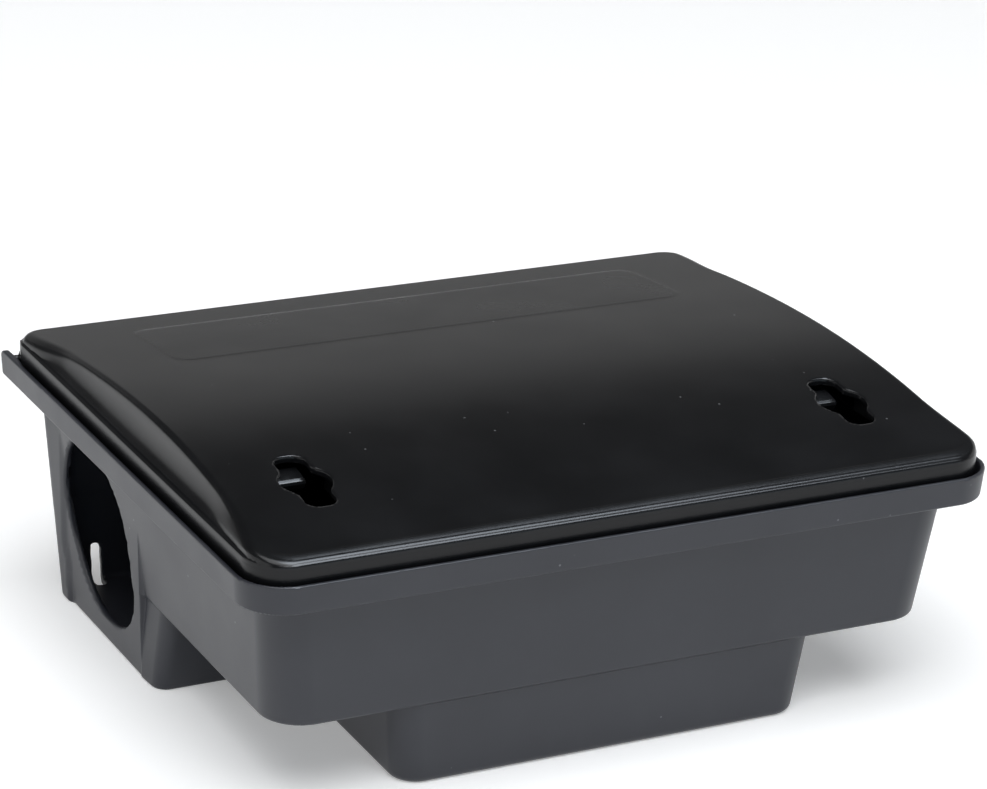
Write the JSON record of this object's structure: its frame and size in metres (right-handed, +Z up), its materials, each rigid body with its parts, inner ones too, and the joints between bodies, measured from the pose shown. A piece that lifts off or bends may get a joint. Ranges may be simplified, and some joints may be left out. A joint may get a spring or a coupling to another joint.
{
  "type": "bait station",
  "caption": "Lockable rodent bait station: T-shaped moulded base with side entry holes, crowned hinged lid with key openings, and rods for bait blocks.",
  "frame": {"origin": "centre of the overall footprint, on the floor that the station stands on", "axes": "+X along the long side to the right seen from the front, +Y towards the hinge side, +Z up"},
  "size_m": [0.23, 0.1914, 0.0883],
  "materials": {
    "base_plastic": "fine satin moulded polypropylene, slate black",
    "lid_plastic": "smooth satin moulded polypropylene, near black",
    "insert_plastic": "moulded polypropylene, as the base",
    "rod_steel": "drawn zinc-plated wire",
    "bait_wax": "pressed wax and grain, blue-green"
  },
  "bodies": {
    "base": {"base_shell": "base_plastic", "left_baffle": "insert_plastic", "right_baffle": "insert_plastic", "left_rod_rack": "insert_plastic", "right_rod_rack": "insert_plastic", "left_hinge_pin": "rod_steel", "right_hinge_pin": "rod_steel"},
    "lid": {"lid_shell": "lid_plastic"},
    "left_lock": {"left_lock_hook": "insert_plastic"},
    "right_lock": {"right_lock_hook": "insert_plastic"},
    "front_rod": {"front_bait_rod": "rod_steel", "front_left_bait_block": "bait_wax", "front_right_bait_block": "bait_wax"},
    "rear_rod": {"rear_bait_rod": "rod_steel", "rear_left_bait_block": "bait_wax", "rear_right_bait_block": "bait_wax"},
    "tray": {"bait_tray": "insert_plastic"}
  },
  "joints": [
    {"name": "lid_hinge", "type": "hinge", "parent": "base", "child": "lid", "pos_m": [0, 0.0905, 0.0704], "axis": [-1, 0, 0], "range_deg": [0, 105]},
    {"name": "left_lock_flex", "type": "hinge", "parent": "base", "child": "left_lock", "pos_m": [-0.0838, -0.0446, 0.0299], "axis": [-1, 0, 0], "range_deg": [0, 5], "stiffness_Nm_per_rad": 2},
    {"name": "right_lock_flex", "type": "hinge", "parent": "base", "child": "right_lock", "pos_m": [0.0838, -0.0446, 0.0299], "axis": [-1, 0, 0], "range_deg": [0, 5], "stiffness_Nm_per_rad": 2},
    {"name": "front_rod_lift", "type": "slide", "parent": "base", "child": "front_rod", "axis": [0, 0, 1], "range_m": [0, 0.024]},
    {"name": "rear_rod_lift", "type": "slide", "parent": "base", "child": "rear_rod", "axis": [0, 0, 1], "range_m": [0, 0.024]},
    {"name": "tray_lift", "type": "slide", "parent": "base", "child": "tray", "axis": [0, 0, 1], "range_m": [0, 0.011]}
  ]
}
